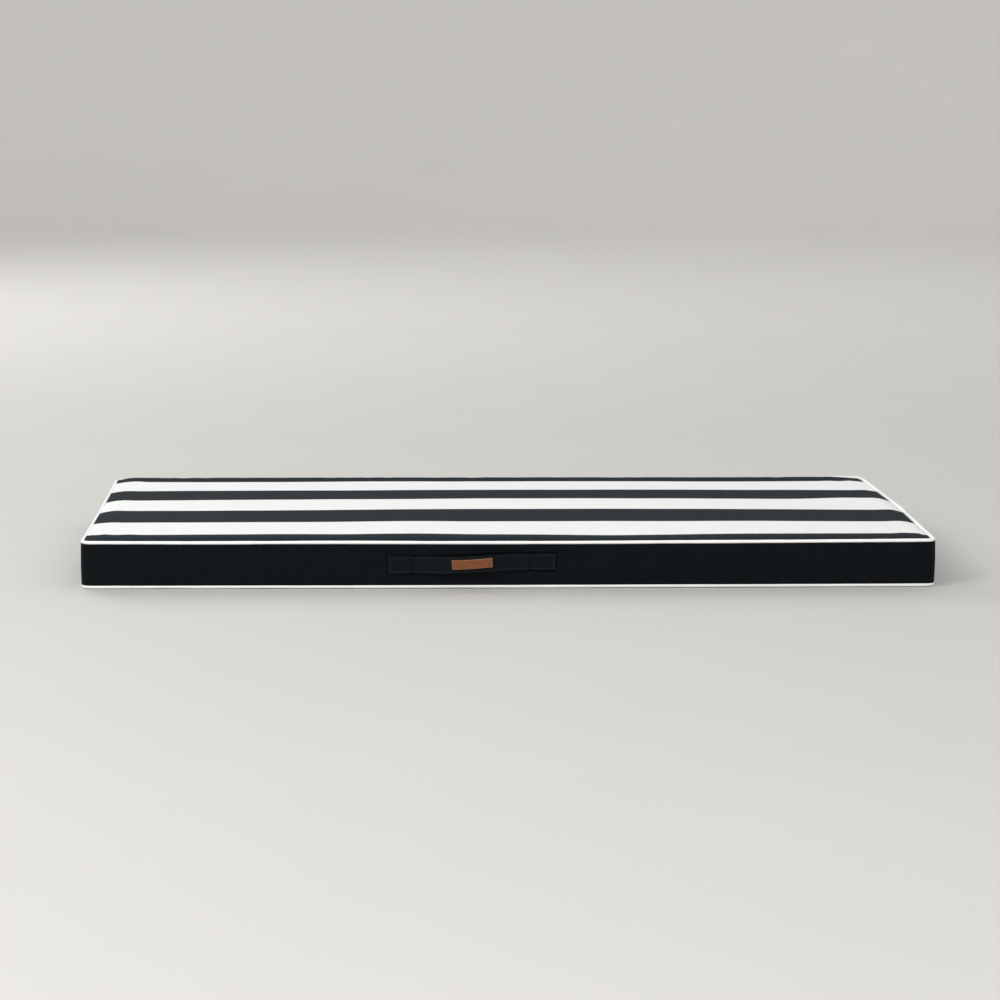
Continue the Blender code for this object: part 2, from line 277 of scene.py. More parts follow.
def shoulder(distance_from_edge):
    """0 at the seam, rising to 1 over the width of the shoulder."""
    share = min(distance_from_edge / SHOULDER_WIDTH, 1.0)
    return 1 - (1 - share) ** SHOULDER_POWER


def dome(flat_x, flat_y):
    along = math.cos(math.pi * (flat_x - DOME_PEAK_X) / LENGTH) ** 2
    share = DOME_LEAST_SHARE + (1 - DOME_LEAST_SHARE) * along
    return DOME_RISE * share * math.cos(math.pi * flat_y / DEPTH) ** 2


def end_fall(flat_x):
    distance_from_end = LENGTH / 2 - abs(flat_x)
    return -END_FALL * math.exp(-distance_from_end / END_FALL_REACH)


def swells(flat_x, flat_y):
    total = 0.0
    for centre_x, centre_y, half_length, half_width, height in SWELLS:
        away = math.hypot((flat_x - centre_x) / half_length, (flat_y - centre_y) / half_width)
        if away < 1:
            total += height * math.cos(math.pi * away / 2) ** 2
    return total


def pucker_share(distance):
    """How strongly a seam's puckers show: 0 on the seam, 1 at their reach, then fading."""
    share = distance / PUCKER_REACH
    return share * math.exp(1 - share)


def panel_puckers(flat_x, flat_y):
    edge_x = math.copysign(LENGTH / 2, flat_x)
    edge_y = math.copysign(DEPTH / 2, flat_y)
    seam_places = ((flat_x, edge_y, abs(edge_y - flat_y)), (edge_x, flat_y, abs(edge_x - flat_x)))
    total = 0.0
    for x, y, distance in seam_places:
        ridge = noise.noise(Vector((x, y, PUCKER_LEVELS[0])) / PUCKER_WAVELENGTH)
        fade = abs(noise.noise(Vector((x, y, PUCKER_LEVELS[1])) / PUCKER_FADE_WAVELENGTH))
        strength = PUCKER_LEAST_STRENGTH + (1 - PUCKER_LEAST_STRENGTH) * smoothstep(PUCKER_CONTRAST * fade)
        total += PUCKER_HEIGHT * strength * pucker_share(distance) * ridge
    return total


def corner_creases(flat_x, flat_y):
    from_end = LENGTH / 2 - abs(flat_x)
    from_side = DEPTH / 2 - abs(flat_y)
    total = 0.0
    for angle, start, length, half_width, height in CORNER_CREASES:
        turn = math.radians(angle + CREASE_EXTRA_TURN * math.copysign(1, flat_x * flat_y))
        along = from_end * math.sin(turn) + from_side * math.cos(turn) - start
        across = from_end * math.cos(turn) - from_side * math.sin(turn)
        if 0 < along < length:
            total += height * math.sin(math.pi * along / length) * math.exp(-(across / half_width) ** 2)
    return total


def back_roll(flat_x, flat_y):
    """The soft roll beside the back seam: highest at its reach, then dying away."""
    from_back = (DEPTH / 2 - flat_y) / BACK_ROLL_REACH
    fade = BACK_ROLL_RIGHT_FADE if flat_x > 0 else BACK_ROLL_LEFT_FADE
    from_end = (LENGTH / 2 - abs(flat_x)) / fade
    return BACK_ROLL_RISE * smoothstep(from_end) * (from_back * math.exp(1 - from_back)) ** BACK_ROLL_POWER


def rim_angle(flat_x):
    """The angle above the level at which the panel leaves the piping."""
    puff = math.exp(-(((LENGTH / 2 + flat_x) / LEFT_PUFF_REACH) ** 2))
    return RIM_ANGLE + (LEFT_RIM_ANGLE - RIM_ANGLE) * puff


def beside_piping(angle):
    """(inset, height over the seam) of a point against the inner side of a piping."""
    reach = PIPING_RADIUS + GAP
    return PIPING_RADIUS + reach * math.cos(angle), reach * math.sin(angle)


def top_height(flat_x, flat_y):
    """Height of the top panel's outer face."""
    rise = shoulder(LENGTH / 2 - abs(flat_x)) * shoulder(DEPTH / 2 - abs(flat_y))
    crown = SHOULDER_RISE + dome(flat_x, flat_y) + end_fall(flat_x) + swells(flat_x, flat_y)
    crown += wander(CROWN_WANDER, flat_x, flat_y, CROWN_LEVEL)
    rim = seam_shift(flat_x, flat_y) + beside_piping(rim_angle(flat_x))[1]
    relief = panel_puckers(flat_x, flat_y) + corner_creases(flat_x, flat_y)
    return even_seam_height(flat_x) + (1 - rise) * rim + rise * crown + back_roll(flat_x, flat_y) + relief


# ---- mesh helpers


def pattern_lines(half_size, pitch):
    """Places of a mesh's lines along one direction of the pattern."""
    edge = [half_size - step for step in EDGE_STEPS[:-1]]
    inner = half_size - EDGE_STEPS[-1]
    count = round(2 * inner / pitch)
    middle = [inner * (2 * i / count - 1) for i in range(count + 1)]
    return [-place for place in edge] + middle + edge[::-1]


def grid_lines(pitch):
    return pattern_lines(LENGTH / 2, pitch), pattern_lines(DEPTH / 2, pitch)


def key_of(flat_x, flat_y):
    return round(flat_x, 6), round(flat_y, 6)


def pattern_grid(pitch, point_at):
    """An open grid over the pattern. Its points keep their places on the pattern and the cloth."""
    x_lines, y_lines = grid_lines(pitch)
    columns, rows = len(x_lines) - 1, len(y_lines) - 1
    bm = bmesh.new()
    bmesh.ops.create_grid(bm, x_segments=columns, y_segments=rows, size=0.5)
    pattern = bm.verts.layers.float_vector.new("pattern")
    cloth = bm.verts.layers.float_vector.new("cloth")
    for vert in bm.verts:
        flat_x = x_lines[round((vert.co.x + 0.5) * columns)]
        flat_y = y_lines[round((vert.co.y + 0.5) * rows)]
        vert[pattern] = vert[cloth] = (flat_x, flat_y, 0.0)
        vert.co = point_at(flat_x, flat_y)
    bm.normal_update()
    return bm, pattern, cloth


def outline_places(pitch):
    """The pattern places round the outline, counter-clockwise from the front left corner."""
    x_lines, y_lines = grid_lines(pitch)
    places = [(x, -DEPTH / 2) for x in x_lines[:-1]]
    places += [(LENGTH / 2, y) for y in y_lines[:-1]]
    places += [(x, DEPTH / 2) for x in x_lines[:0:-1]]
    places += [(-LENGTH / 2, y) for y in y_lines[:0:-1]]
    return places


def loft(sections, ring):
    """A mesh through closed sections of (point, cloth place). In a ring the last joins the first."""
    bm = bmesh.new()
    cloth = bm.verts.layers.float_vector.new("cloth")
    rows = []
    for section in sections:
        row = [bm.verts.new(point) for point, _ in section]
        for vert, (_, place) in zip(row, section):
            vert[cloth] = place
        rows.append(row)
    size = len(rows[0])
    following = rows[1:] + rows[:1] if ring else rows[1:]
    for near, far in zip(rows, following):
        for i in range(size):
            j = (i + 1) % size
            bm.faces.new((near[i], near[j], far[j], far[i]))
    if not ring:
        bm.faces.new(rows[0])
        bm.faces.new(rows[-1])
    bmesh.ops.recalc_face_normals(bm, faces=bm.faces)
    return bm


def grow_rim(bm, rim):
    """Grow one more row of faces from the rim. Returns its new edges and its new points."""
    grown = bmesh.ops.extrude_edge_only(bm, edges=rim)["geom"]
    edges = [item for item in grown if isinstance(item, bmesh.types.BMEdge)]
    return edges, [item for item in grown if isinstance(item, bmesh.types.BMVert)]


def add_object(name, data):
    made = bpy.data.objects.new(name, data)
    scene.collection.objects.link(made)
    return made


def object_from(bm, name, material):
    mesh = bpy.data.meshes.new(name)
    bm.to_mesh(mesh)
    bm.free()
    mesh.shade_smooth()
    mesh.materials.append(material)
    return add_object(name, mesh)


def piece_from(bm, name, material, replaced=()):
    piece = object_from(bm, name, material)
    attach(piece, "root")
    if replaced:
        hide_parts(*replaced)
    return piece


def add_thickness(piece, thickness, offset):
    solidify = piece.modifiers.new("Cloth thickness", "SOLIDIFY")
    solidify.thickness = thickness
    solidify.offset = offset


# ---- shader helpers


def surface(tree):
    return tree.nodes["Principled BSDF"].inputs


def new_material(name, roughness, specular, sheen=0.0):
    material = bpy.data.materials.new(name)
    material.use_nodes = True
    tree = material.node_tree
    surface(tree)["Roughness"].default_value = roughness
    surface(tree)["Specular IOR Level"].default_value = specular
    surface(tree)["Sheen Weight"].default_value = sheen
    return material, tree


def feed(tree, socket, value):
    if isinstance(value, bpy.types.NodeSocket):
        tree.links.new(value, socket)
    else:
        socket.default_value = value


def add_node(tree, kind, sockets, **settings):
    """The outputs of a new node that has these settings, with values or links fed to its sockets."""
    node = tree.nodes.new("ShaderNode" + kind)
    for name, setting in settings.items():
        setattr(node, name, setting)
    for socket, value in sockets.items():
        feed(tree, node.inputs[socket], value)
    return node.outputs


def calc(tree, operation, *values, clamp=False):
    return add_node(tree, "Math", dict(enumerate(values)), operation=operation, use_clamp=clamp)[0]


def line(tree, value, slope, start, clamp=False):
    return calc(tree, "MULTIPLY_ADD", value, slope, start, clamp=clamp)


def mix_colors(tree, share, first, second):
    sockets = {"Factor": share, "A": first, "B": second}
    return add_node(tree, "Mix", sockets, data_type="RGBA")["Result"]


def attribute(tree, name):
    return add_node(tree, "Attribute", {}, attribute_name=name)


def cloth_place(tree):
    """Where a shaded point lies on the flat cloth, in metres."""
    return attribute(tree, "cloth")["Vector"]


def parts_of(tree, vector):
    return add_node(tree, "SeparateXYZ", {0: vector})


def stretched_noise(tree, place, size, detail=2.0):
    """Smooth noise from 0 to 1 whose blobs have this size along and across the cloth, in metres."""
    scale = (1 / size[0], 1 / size[1], 1 / size[0])
    scaled = add_node(tree, "VectorMath", {0: place, 1: scale}, operation="MULTIPLY")[0]
    return add_node(tree, "TexNoise", {"Vector": scaled, "Scale": 1.0, "Detail": detail})["Fac"]


def plain_weave(tree, place, pitch):
    """(height of the threads from 0 to 1, 1 where a warp thread is on top) of a plain weave."""
    along, across, _ = parts_of(tree, place)
    waves = [calc(tree, "SINE", calc(tree, "MULTIPLY", way, math.pi / pitch)) for way in (along, across)]
    warp_on_top = calc(tree, "GREATER_THAN", calc(tree, "MULTIPLY", *waves), 0.0)
    warp_power = line(tree, warp_on_top, WEAVE_ROUND_POWER - WEAVE_FLAT_POWER, WEAVE_FLAT_POWER)
    weft_power = line(tree, warp_on_top, WEAVE_FLAT_POWER - WEAVE_ROUND_POWER, WEAVE_ROUND_POWER)
    heights = [
        calc(tree, "POWER", calc(tree, "ABSOLUTE", wave), power)
        for wave, power in zip(waves, (warp_power, weft_power))
    ]
    return calc(tree, "MULTIPLY", *heights), warp_on_top


def bump(tree, height, distance, strength=1.0):
    sockets = {"Height": height, "Distance": distance, "Strength": strength}
    feed(tree, surface(tree)["Normal"], add_node(tree, "Bump", sockets)["Normal"])


def shaded_color(tree, color, value):
    """The color with its brightness multiplied by a value."""
    base = color if isinstance(color, bpy.types.NodeSocket) else color[:3]
    return add_node(tree, "VectorMath", {0: base, "Scale": value}, operation="SCALE")[0]


def paint(tree, color, value):
    feed(tree, surface(tree)["Base Color"], shaded_color(tree, color, value))


def finish_woven(tree, place, color, relief, contrast):
    """Thread relief with painted shade in the weave's hollows, slubs along both thread directions and a
    soft mottle, over a color.
    """
    weave, warp_on_top = plain_weave(tree, place, CANVAS_PITCH)
    warp_slubs = stretched_noise(tree, place, (SLUB_WIDTH, SLUB_LENGTH))
    weft_slubs = stretched_noise(tree, place, (SLUB_LENGTH, SLUB_WIDTH))
    slubs = calc(tree, "ADD", warp_slubs, weft_slubs)
    mottle = stretched_noise(tree, place, MOTTLE_SIZE, detail=3.0)
    value = 1 - contrast * sum(strength * mean for strength, mean in WOVEN_SHADES)
    for part, (strength, _) in zip((weave, warp_on_top, slubs, mottle), WOVEN_SHADES):
        value = line(tree, part, strength * contrast, value)
    paint(tree, color, value)
    bump(tree, line(tree, slubs, SLUB_RELIEF, weave), relief)


# ---- materials

BLACK_COTTON = (0.0048, 0.0065, 0.0081, 1.0)
# The stripes' black is a lighter, bluer copy of the boxing's black cotton: painted sheen of the grazing
# light across the top.
STRIPE_BLACK = (0.0065, 0.0130, 0.0188, 1.0)
STRIPE_WHITE = (0.865, 0.868, 0.866, 1.0)
PIPING_WHITE = (0.940, 0.940, 0.938, 1.0)
STRAP_BLACK = (0.0066, 0.0088, 0.0108, 1.0)
THREAD_BLACK = (0.0090, 0.0113, 0.0135, 1.0)
TAN_LEATHER = (0.196, 0.067, 0.0225, 1.0)
# The colour of the painted highlight on the patch's rounded cut edges.
RIM_HIGHLIGHT_LEATHER = (0.250, 0.130, 0.078, 1.0)
CANVAS_PITCH = 0.00075
WEAVE_FLAT_POWER = 0.30
WEAVE_ROUND_POWER = 0.80
SLUB_WIDTH = 1.3 * CANVAS_PITCH
SLUB_LENGTH = 0.030
SLUB_RELIEF = 0.45
MOTTLE_SIZE = (0.040, 0.028)
# Strength and mean of what sets a cloth's brightness: painted shade in the hollows of its weave, its upper
# threads, slubs and mottle.
WOVEN_SHADES = ((0.50, 0.7), (0.10, 0.5), (0.50, 1.0), (0.30, 0.5))
STRIPE_DRIFT = 0.0016
STRIPE_RAGGEDNESS = 0.0005
STRIPE_BLEND_WIDTH = 0.0004
# Painted shade on the boxing behind the strap and round its outline: its reach and how much it darkens.
PAINTED_HANDLE_SHADE_REACH = 0.0015
PAINTED_HANDLE_SHADE = 0.82
SHIMMER_TURN = math.radians(42)
SHIMMER_SIZE = (0.0018, 0.012)
SHIMMER_STRENGTH = 0.55
# Painted highlight just inside the strap's folded edges and ends, where the raised folds catch the light:
# inset, reach and strength.
PAINTED_EDGE_HIGHLIGHT_INSET = 0.0019
PAINTED_EDGE_HIGHLIGHT_REACH = 0.0008
PAINTED_EDGE_HIGHLIGHT_SHARE = 0.75
# Painted shade in the troughs where the tacks press the strap.
PAINTED_TACK_SHADE = 0.72
PORE_PITCH = 0.00055
# How far the patch's rim goes towards its painted highlight colour.
RIM_HIGHLIGHT_SHARE = 0.75
FLOOR_COLOR = (0.600, 0.587, 0.562, 1.0)


def fading(tree, distance, reach):
    """1 at no distance, fading to 0 over the reach."""
    share = calc(tree, "DIVIDE", distance, reach)
    return calc(tree, "POWER", math.exp(-1), calc(tree, "MULTIPLY", share, share))


def past_span(tree, place, middle, half_size):
    """How far a place lies outside a span, less than 0 inside it."""
    away = calc(tree, "ABSOLUTE", calc(tree, "SUBTRACT", place, middle))
    return calc(tree, "SUBTRACT", away, half_size)


def painted_handle_shade_mask(tree, place):
    """Where shade is painted on the boxing: 1 behind the strap, fading out over a thread or two round it.
    """
    along, height, off_front = parts_of(tree, place)
    along = calc(tree, "ADD", along, DEPTH / 2)
    rise = {
        "Value": along,
        "From Min": STRAP_RISE_START,
        "From Max": STRAP_RISE_END,
        "To Min": STRAP_LEFT_HEIGHT,
        "To Max": STRAP_RIGHT_HEIGHT,
    }
    middle = add_node(tree, "MapRange", rise, interpolation_type="SMOOTHSTEP")["Result"]
    side = past_span(tree, along, STRAP_MIDDLE, STRAP_LENGTH / 2)
    up = past_span(tree, height, middle, STRAP_WIDTH / 2)
    past_strap = calc(tree, "MAXIMUM", calc(tree, "MAXIMUM", side, up), 0.0)
    away = calc(tree, "ADD", past_strap, calc(tree, "ABSOLUTE", off_front))
    return fading(tree, away, PAINTED_HANDLE_SHADE_REACH)


def black_canvas(name, carries_handle):
    """Black canvas with a faint slanting shimmer of its weave, and painted shade on the boxing behind and
    round a handle.
    """
    material, tree = new_material(name, roughness=0.85, specular=0.06, sheen=0.02)
    place = cloth_place(tree)
    turned = add_node(tree, "VectorRotate", {"Vector": place, "Angle": SHIMMER_TURN})["Vector"]
    shimmer = stretched_noise(tree, turned, SHIMMER_SIZE, detail=1.0)
    lively = line(tree, shimmer, 2 * SHIMMER_STRENGTH, 1 - SHIMMER_STRENGTH)
    if carries_handle:
        # Painted shade behind the handle and just round it, multiplied into the colour.
        shade = line(tree, painted_handle_shade_mask(tree, place), -PAINTED_HANDLE_SHADE, 1.0)
        lively = calc(tree, "MULTIPLY", lively, shade)
    color = shaded_color(tree, BLACK_COTTON, lively)
    finish_woven(tree, place, color, relief=0.00012, contrast=0.8)
    return material


def strap_canvas():
    """Black canvas with a painted highlight along its folded edges and ends, and painted shade where the
    tacks press it.
    """
    material, tree = new_material("strap canvas", roughness=0.85, specular=0.06, sheen=0.02)
    place = cloth_place(tree)
    along, across, _ = parts_of(tree, place)
    from_side_highlight = past_span(tree, across, 0.0, STRAP_WIDTH / 2 - PAINTED_EDGE_HIGHLIGHT_INSET)
    from_end_highlight = past_span(tree, along, STRAP_MIDDLE, STRAP_LENGTH / 2 - TACK_END_INSET)
    edge_highlights = [fading(tree, distance, PAINTED_EDGE_HIGHLIGHT_REACH) for distance in (from_side_highlight, from_end_highlight)]
    # Paint a highlight just inside the folded edges and ends.
    highlighted = line(tree, calc(tree, "MAXIMUM", *edge_highlights), PAINTED_EDGE_HIGHLIGHT_SHARE, 1.0)
    # Paint shade where the tacks press the strap.
    shade = line(tree, attribute(tree, "pressed")["Fac"], -PAINTED_TACK_SHADE, 1.0)
    color = shaded_color(tree, STRAP_BLACK, calc(tree, "MULTIPLY", highlighted, shade))
    finish_woven(tree, place, color, relief=0.00012, contrast=0.6)
    return material


def striped_canvas():
    """Stripes along the length: white in the middle, black half stripes along both long seams."""
    material, tree = new_material("striped canvas", roughness=0.85, specular=0.09, sheen=0.02)
    place = cloth_place(tree)
    drift = stretched_noise(tree, place, size=(0.16, 0.12))
    ragged = stretched_noise(tree, place, size=(0.0012, 0.0012))
    off_line = line(tree, drift, STRIPE_DRIFT, -STRIPE_DRIFT / 2)
    off_thread = line(tree, ragged, STRIPE_RAGGEDNESS, -STRIPE_RAGGEDNESS / 2)
    across = calc(tree, "ADD", parts_of(tree, place)[1], calc(tree, "ADD", off_line, off_thread))
    stripes = calc(tree, "DIVIDE", calc(tree, "ABSOLUTE", across), STRIPE_WIDTH)
    from_white = calc(tree, "PINGPONG", stripes, 1.0)
    from_edge = calc(tree, "SUBTRACT", from_white, 0.5)
    black_share = line(tree, from_edge, STRIPE_WIDTH / STRIPE_BLEND_WIDTH, 0.5, clamp=True)
    color = mix_colors(tree, black_share, STRIPE_WHITE, STRIPE_BLACK)
    finish_woven(tree, place, color, relief=0.00010, contrast=0.22)
    return material


def piping_cloth():
    material, tree = new_material("piping cloth", roughness=0.85, specular=0.20, sheen=0.05)
    finish_woven(tree, cloth_place(tree), PIPING_WHITE, relief=0.00008, contrast=0.18)
    return material


def thread():
    material, tree = new_material("handle thread", roughness=0.70, specular=0.12)
    twist = stretched_noise(tree, cloth_place(tree), size=(0.0006, 0.0006))
    paint(tree, THREAD_BLACK, calc(tree, "ADD", twist, 0.5))
    bump(tree, twist, distance=0.00008)
    return material


def tan_leather():
    """Smooth leather with clouds of colour, fine pores and a painted highlight on its rounded cut edges."""
    material, tree = new_material("tan leather", roughness=0.55, specular=0.20)
    place = cloth_place(tree)
    clouds = stretched_noise(tree, place, size=(0.009, 0.006), detail=4.0)
    pores = add_node(tree, "TexVoronoi", {"Vector": place, "Scale": 1 / PORE_PITCH})["Distance"]
    # Paint a highlight on the rounded cut edges.
    rim_highlight = calc(tree, "MULTIPLY", attribute(tree, "rim")["Fac"], RIM_HIGHLIGHT_SHARE)
    tone = mix_colors(tree, rim_highlight, TAN_LEATHER, RIM_HIGHLIGHT_LEATHER)
    paint(tree, tone, line(tree, clouds, slope=0.45, start=0.78))
    feed(tree, surface(tree)["Roughness"], line(tree, clouds, slope=0.20, start=0.42))
    bump(tree, line(tree, clouds, slope=0.6, start=pores), distance=0.00010, strength=0.6)
    return material


def pale_floor():
    material, tree = new_material("pale floor", roughness=0.70, specular=0.20)
    place = add_node(tree, "TexCoord", {})["Object"]
    patches = stretched_noise(tree, place, size=(0.45, 0.30), detail=4.0)
    paint(tree, FLOOR_COLOR, line(tree, patches, slope=0.05, start=0.975))
    return material


# ---- cushion


def crowned_grid(pitch, settling=None):
    def outer_point(flat_x, flat_y):
        inset, _ = beside_piping(rim_angle(flat_x))
        point = Vector((*plan_point(flat_x, flat_y, inset), top_height(flat_x, flat_y)))
        return point + settling(flat_x, flat_y) if settling else point

    return pattern_grid(pitch, outer_point)


def foam_hold(flat_x, flat_y):
    """1 where the cover can't move, on its seams and over the firm middle, less along its margins."""
    from_seam = min(LENGTH / 2 - abs(flat_x), DEPTH / 2 - abs(flat_y))
    if from_seam < EDGE_STEPS[1] / 2:
        return 1.0
    return smoothstep((from_seam / SETTLE_REACH - SETTLE_FREE_SHARE) / (1 - SETTLE_FREE_SHARE))


def settle_cover():
    """A short cloth simulation of the top cover, eased along its margins and pushed up by the foam.

    Returns how far a place on the pattern moves in it."""
    cover, pattern, _ = crowned_grid(PLAIN_PITCH)
    mesh = bpy.data.meshes.new("settling cover")
    cover.to_mesh(mesh)
    study = add_object("settling cover", mesh)
    held, eased = (study.vertex_groups.new(name=name) for name in ("held", "eased"))
    for number, vert in enumerate(cover.verts):
        hold = foam_hold(vert[pattern].x, vert[pattern].y)
        held.add([number], hold, "REPLACE")
        eased.add([number], 1 - hold, "REPLACE")
    cloth = study.modifiers.new("Settling", "CLOTH")
    settings = cloth.settings
    settings.mass = SETTLE_MASS
    settings.bending_stiffness = SETTLE_BENDING
    settings.use_pressure = True
    settings.uniform_pressure_force = SETTLE_PRESSURE
    settings.effector_weights.gravity = 0.0
    settings.vertex_group_mass = held.name
    settings.vertex_group_shrink = eased.name
    settings.shrink_max = -SEAM_EASE
    cloth.point_cache.frame_end = SETTLE_FRAMES
    for frame_number in range(1, SETTLE_FRAMES + 1):
        scene.frame_set(frame_number)
    settled = study.evaluated_get(bpy.context.evaluated_depsgraph_get()).data.vertices
    x_lines, y_lines = grid_lines(PLAIN_PITCH)
    ways = {}
    for vert, point in zip(cover.verts, settled):
        way = point.co - vert.co
        ways[key_of(*vert[pattern].xy)] = way * min(1.0, SETTLE_LIMIT / max(way.length, 1e-9))
    cover.free()
    bpy.data.objects.remove(study)
    bpy.data.meshes.remove(mesh)
    scene.frame_set(1)

    def moved(flat_x, flat_y):
        i = min(max(bisect.bisect_right(x_lines, flat_x) - 1, 0), len(x_lines) - 2)
        j = min(max(bisect.bisect_right(y_lines, flat_y) - 1, 0), len(y_lines) - 2)
        share_x = (flat_x - x_lines[i]) / (x_lines[i + 1] - x_lines[i])
        share_y = (flat_y - y_lines[j]) / (y_lines[j + 1] - y_lines[j])
        corners = [[ways[key_of(x, y)] for y in y_lines[j:j + 2]] for x in x_lines[i:i + 2]]
        near, far = (pair[0].lerp(pair[1], share_y) for pair in corners)
        return near.lerp(far, share_x)

    return moved


def ledge(seam_height, turn, inner_room=0.0):
    """Section points round a piping, with room for the panel's rim on its inner side."""
    half_step = math.radians(LEDGE_ANGLES[1] - LEDGE_ANGLES[0]) / 2
    full, gone = LEDGE_ROOM_ANGLES
    points = []
    for angle in LEDGE_ANGLES:
        room = inner_room * smoothstep((gone - angle) / (gone - full))
        radius = (PIPING_RADIUS + GAP) / math.cos(half_step) + room
        inset = PIPING_RADIUS + radius * math.cos(math.radians(angle))
        points.append((inset, seam_height + turn * radius * math.sin(math.radians(angle))))
    return points


def strap_hold(flat_x, flat_y, height):
    """1 on the boxing where the strap's tacks press it, 0 away from them."""
    if flat_y > -DEPTH / 2 + CORNER_RADIUS:
        return 0.0
    hold = 0.0
    for start, end in ((STRAP_LEFT, LEFT_TACK_END), (RIGHT_TACK_START, STRAP_RIGHT)):
        along = max(abs(flat_x - (start + end) / 2) - (end - start) / 2, 0.0)
        up = max(abs(height - strap_height(flat_x)) - STRAP_WIDTH / 2, 0.0)
        hold = max(hold, 1 - smoothstep(math.hypot(along, up) / TACK_PULL_REACH))
    return hold


def band_relief(flat_x, flat_y, height, top_lip, bottom_lip):
    """How far the boxing stands out from its even section."""
    share = (height - bottom_lip) / (top_lip - bottom_lip)
    held_at_seams = math.sin(math.pi * min(max(share, 0.0), 1.0)) ** 0.5
    relief = wander(BAND_WANDER, flat_x, flat_y, BAND_WANDER_UP * height) * held_at_seams
    for distance, level in zip((top_lip - height, height - bottom_lip), PIPING_LEVELS):
        ridge = noise.noise(Vector((flat_x, flat_y, level)) / PUCKER_WAVELENGTH)
        relief += BAND_PUCKER_SHARE * PUCKER_HEIGHT * pucker_share(distance) * ridge
    hold = strap_hold(flat_x, flat_y, height)
    return relief * (1 - hold) - TACK_PULL * hold


def band_section(flat_x, flat_y):
    """(inset, height) down the side of the body: top ledge, band, bottom ledge, underside."""
    top_ledge = ledge(top_seam(flat_x, flat_y), -1, PANEL_THICKNESS + GAP)[1:]
    bottom_ledge = ledge(bottom_seam(flat_x, flat_y), 1)[::-1]
    top_lip, bottom_lip = top_ledge[-1][1], bottom_ledge[0][1]
    band = []
    for row in range(1, BAND_ROWS):
        share = row / BAND_ROWS
        height = top_lip + share * (bottom_lip - top_lip)
        even_inset = BAND_EDGE_INSET - BAND_BULGE * math.sin(math.pi * share)
        relief = band_relief(flat_x, flat_y, height, top_lip, bottom_lip)
        band.append((even_inset - relief, height))
    underside = [(PANEL_INSET + GAP, PANEL_THICKNESS + GAP)]
    return top_ledge + band + bottom_ledge + underside


def make_body(material, settling):
    """The filled boxing: the crown under the top panel, and sides that step in round both pipings."""
    body, pattern, cloth = crowned_grid(FINE_PITCH, settling)
    clearance = PANEL_THICKNESS + GAP
    lowered = [(vert, vert.co - vert.normal * clearance) for vert in body.verts]
    for vert, place in lowered:
        vert.co = place
    rim = [edge for edge in body.edges if edge.is_boundary]
    sections = {key_of(*place): band_section(*place) for place in outline_places(FINE_PITCH)}
    for row in range(len(next(iter(sections.values())))):
        rim, grown = grow_rim(body, rim)
        for vert in grown:
            flat_x, flat_y, _ = vert[pattern]
            inset, height = sections[key_of(flat_x, flat_y)][row]
            vert.co = (*plan_point(flat_x, flat_y, inset), height)
            vert[cloth] = (flat_x + flat_y, height, flat_y + DEPTH / 2)
    bmesh.ops.edgeloop_fill(body, edges=rim)
    bmesh.ops.recalc_face_normals(body, faces=body.faces)
    piece = piece_from(body, "cushion_body", material, ["boxing_body"])
    return piece


def carried(place, edge, past):
    """One coordinate of a cloth place at the pattern's rim, carried past its edge."""
    share = smoothstep((abs(place) - edge + CORNER_RADIUS) / CORNER_RADIUS)
    return place + math.copysign(past * share, place)


def tuck_rim(panel, pattern, cloth):
    """Carry the panel's rim down round the piping's inner side, into the seam."""
    rim = [edge for edge in panel.edges if edge.is_boundary]
    for row in range(1, TUCK_ROWS + 1):
        rim, grown = grow_rim(panel, rim)
        for vert in grown:
            flat_x, flat_y, _ = vert[pattern]
            start = rim_angle(flat_x)
            angle = start + (TUCK_END_ANGLE - start) * row / TUCK_ROWS
            inset, height = beside_piping(angle)
            vert.co = (*plan_point(flat_x, flat_y, inset), top_seam(flat_x, flat_y) + height)
            past = (PIPING_RADIUS + GAP) * (start - angle)
            vert[cloth] = (carried(flat_x, LENGTH / 2, past), carried(flat_y, DEPTH / 2, past), 0.0)
    bmesh.ops.recalc_face_normals(panel, faces=panel.faces)


def make_top(material, settling):
    panel, pattern, cloth = crowned_grid(FINE_PITCH, settling)
    tuck_rim(panel, pattern, cloth)
    piece = piece_from(panel, "striped_top", material, ["top_panel"])
    add_thickness(piece, PANEL_THICKNESS, -1)
    return piece


def make_underside(material):
    panel, _, _ = pattern_grid(PLAIN_PITCH, lambda x, y: (*plan_point(x, y, PANEL_INSET), 0.0))
    piece = piece_from(panel, "underside_cloth", material, ["bottom_panel"])
    add_thickness(piece, PANEL_THICKNESS, 1)
    return piece


PIPING_SIDES = 16
# The cord's cover is fuller in places: wavelength, share of the radius.
PIPING_FULLNESS = ((0.060, 0.09), (0.018, 0.06))
PIPING_WRINKLE_WAVELENGTH = 0.006
PIPING_WRINKLE_SHARE = 0.030
# For the top and the bottom piping: level in the noise, then share of the radius and rise.
PIPING_LEVELS = (0.2, 0.9)
PIPING_SHAPES = ((0.90, 0.00022), (1.04, 0.00005))


